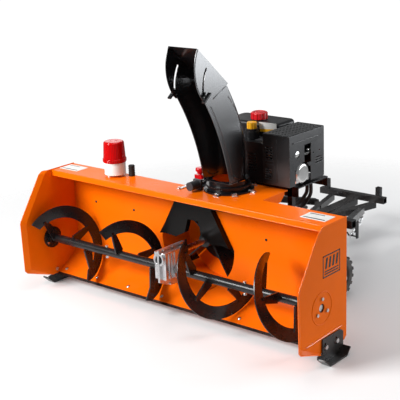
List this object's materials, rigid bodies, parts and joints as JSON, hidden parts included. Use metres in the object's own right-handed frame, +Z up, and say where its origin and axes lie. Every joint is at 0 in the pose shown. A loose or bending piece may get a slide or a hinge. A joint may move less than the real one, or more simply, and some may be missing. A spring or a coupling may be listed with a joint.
{
  "type": "two stage snowblower",
  "caption": "Engine driven snow blower attachment with orange intake housing, ribbon auger, impeller drum, turning chute with tilting hood, beacon, gauge wheels and hitch frame.",
  "frame": {"origin": "on the ground under the middle of the part's box", "axes": "+Z up, -Y towards the intake's open front, +X to the right seen from the front"},
  "size_m": [1.6084, 1.615, 1.189],
  "materials": {
    "housing_orange": "powder coat, semi gloss",
    "satin_black": "powder coat, satin",
    "zinc": "zinc plated",
    "pale_label": "blank printed film",
    "cast_alloy": "as cast",
    "bronze": "machined",
    "cast_dark": "painted casting",
    "black_rubber": "moulded",
    "black_plastic": "moulded grain",
    "cream_plastic": "moulded",
    "red_lens": "translucent moulding",
    "polished_metal": "polished",
    "red_plastic": "moulded",
    "yellow_plastic": "moulded",
    "grey_enamel": "heat resistant enamel"
  },
  "bodies": {
    "carrier": {"housing_shell": "housing_orange", "end_plate_left": "housing_orange", "end_plate_right": "housing_orange", "impeller_drum": "housing_orange", "outlet_deck": "housing_orange", "intake_shield": "satin_black", "scraper_bar": "satin_black", "skid_shoes": "satin_black", "housing_bolts": "zinc", "label_plates": "pale_label", "auger_bearings": "satin_black", "gearbox_case_left": "cast_alloy", "gearbox_case_right": "cast_alloy", "impeller_bearing": "satin_black", "drive_belt": "black_rubber", "belt_cover": "black_plastic", "turntable_clips": "zinc", "chute_motor": "cast_dark", "beacon_base": "cream_plastic", "beacon_lens": "red_lens", "cable_gland": "black_rubber", "crankcase": "cast_dark", "cylinder_fins": "cast_alloy", "recoil_cover": "black_plastic", "fuel_tank": "black_plastic", "oil_filler": "black_plastic", "muffler": "polished_metal", "muffler_guard": "grey_enamel", "air_box": "black_plastic", "switch_box": "red_plastic", "engine_bed": "satin_black", "push_frame": "satin_black", "wheel_forks": "satin_black", "wheel_axles": "zinc", "chain": "zinc", "hoses": "black_rubber"},
    "auger": {"auger_left": "satin_black", "auger_right": "satin_black", "auger_shaft": "zinc", "shear_bolts": "zinc", "worm_wheel": "bronze"},
    "impeller": {"impeller_shaft": "zinc", "impeller": "satin_black", "impeller_pulley": "cast_dark"},
    "crank": {"crankshaft": "zinc", "engine_pulley": "cast_dark"},
    "chute": {"chute_turntable": "satin_black", "chute_channel": "satin_black", "hinge_pin": "zinc"},
    "hood": {"deflector_hood": "satin_black"},
    "knob_left": {"wing_knob_left": "black_plastic"},
    "knob_right": {"wing_knob_right": "black_plastic"},
    "chute_worm": {"chute_worm": "zinc"},
    "beacon_rotor": {"beacon_rotor": "polished_metal"},
    "starter": {"pull_handle": "black_plastic"},
    "fuel_cap": {"fuel_cap": "red_plastic"},
    "oil_cap": {"oil_cap": "yellow_plastic"},
    "stop_button": {"stop_button": "red_plastic"},
    "wheel_left": {"wheel_left": "black_rubber"},
    "wheel_right": {"wheel_right": "black_rubber"}
  },
  "joints": [
    {"name": "impeller_spin", "type": "hinge", "parent": "carrier", "child": "impeller", "pos_m": [0, -0.4625, 0.295], "axis": [0, 1, 0], "continuous": true},
    {"name": "auger_spin", "type": "hinge", "parent": "carrier", "child": "auger", "pos_m": [0, -0.6345, 0.231], "axis": [1, 0, 0], "continuous": true},
    {"name": "crank_spin", "type": "hinge", "parent": "carrier", "child": "crank", "pos_m": [0.11, -0.2695, 0.645], "axis": [0, 1, 0], "continuous": true},
    {"name": "chute_turn", "type": "hinge", "parent": "carrier", "child": "chute", "pos_m": [0.14, -0.4085, 0.555], "axis": [0, 0, 1], "range_deg": [-90, 90]},
    {"name": "chute_worm_spin", "type": "hinge", "parent": "carrier", "child": "chute_worm", "pos_m": [0.0344, -0.4085, 0.5765], "axis": [0, 1, 0], "continuous": true},
    {"name": "deflector_tilt", "type": "hinge", "parent": "chute", "child": "hood", "pos_m": [0.14, -0.4895, 1.022], "axis": [1, 0, 0], "range_deg": [0, 40]},
    {"name": "left_knob_turn", "type": "hinge", "parent": "chute", "child": "knob_left", "pos_m": [0.06, -0.64067, 0.99262], "axis": [1, 0, 0], "range_deg": [-180, 180]},
    {"name": "right_knob_turn", "type": "hinge", "parent": "chute", "child": "knob_right", "pos_m": [0.22, -0.64067, 0.99262], "axis": [1, 0, 0], "range_deg": [-180, 180]},
    {"name": "beacon_spin", "type": "hinge", "parent": "carrier", "child": "beacon_rotor", "pos_m": [-0.43, -0.5145, 0.625], "axis": [0, 0, 1], "continuous": true},
    {"name": "starter_pull", "type": "slide", "parent": "carrier", "child": "starter", "axis": [0, 1, 0], "range_m": [0, 0.25]},
    {"name": "fuel_cap_turn", "type": "hinge", "parent": "carrier", "child": "fuel_cap", "pos_m": [0.093, -0.1245, 0.805], "axis": [0, 0, 1], "range_deg": [0, 180]},
    {"name": "oil_cap_turn", "type": "hinge", "parent": "carrier", "child": "oil_cap", "pos_m": [0.127, -0.2225, 0.79], "axis": [0, 0, 1], "range_deg": [0, 270]},
    {"name": "stop_press", "type": "slide", "parent": "carrier", "child": "stop_button", "axis": [0, 0, -1], "range_m": [0, 0.005], "stiffness_N_per_m": 600},
    {"name": "left_wheel_spin", "type": "hinge", "parent": "carrier", "child": "wheel_left", "pos_m": [-0.443, -0.0365, 0.101], "axis": [1, 0, 0], "continuous": true},
    {"name": "right_wheel_spin", "type": "hinge", "parent": "carrier", "child": "wheel_right", "pos_m": [0.443, -0.0365, 0.101], "axis": [1, 0, 0], "continuous": true}
  ],
  "couplings": [
    {"joint": "auger_spin", "follows": "impeller_spin", "ratio": -0.041667},
    {"joint": "crank_spin", "follows": "impeller_spin", "ratio": 2.387},
    {"joint": "chute_worm_spin", "follows": "chute_turn", "ratio": 48}
  ]
}
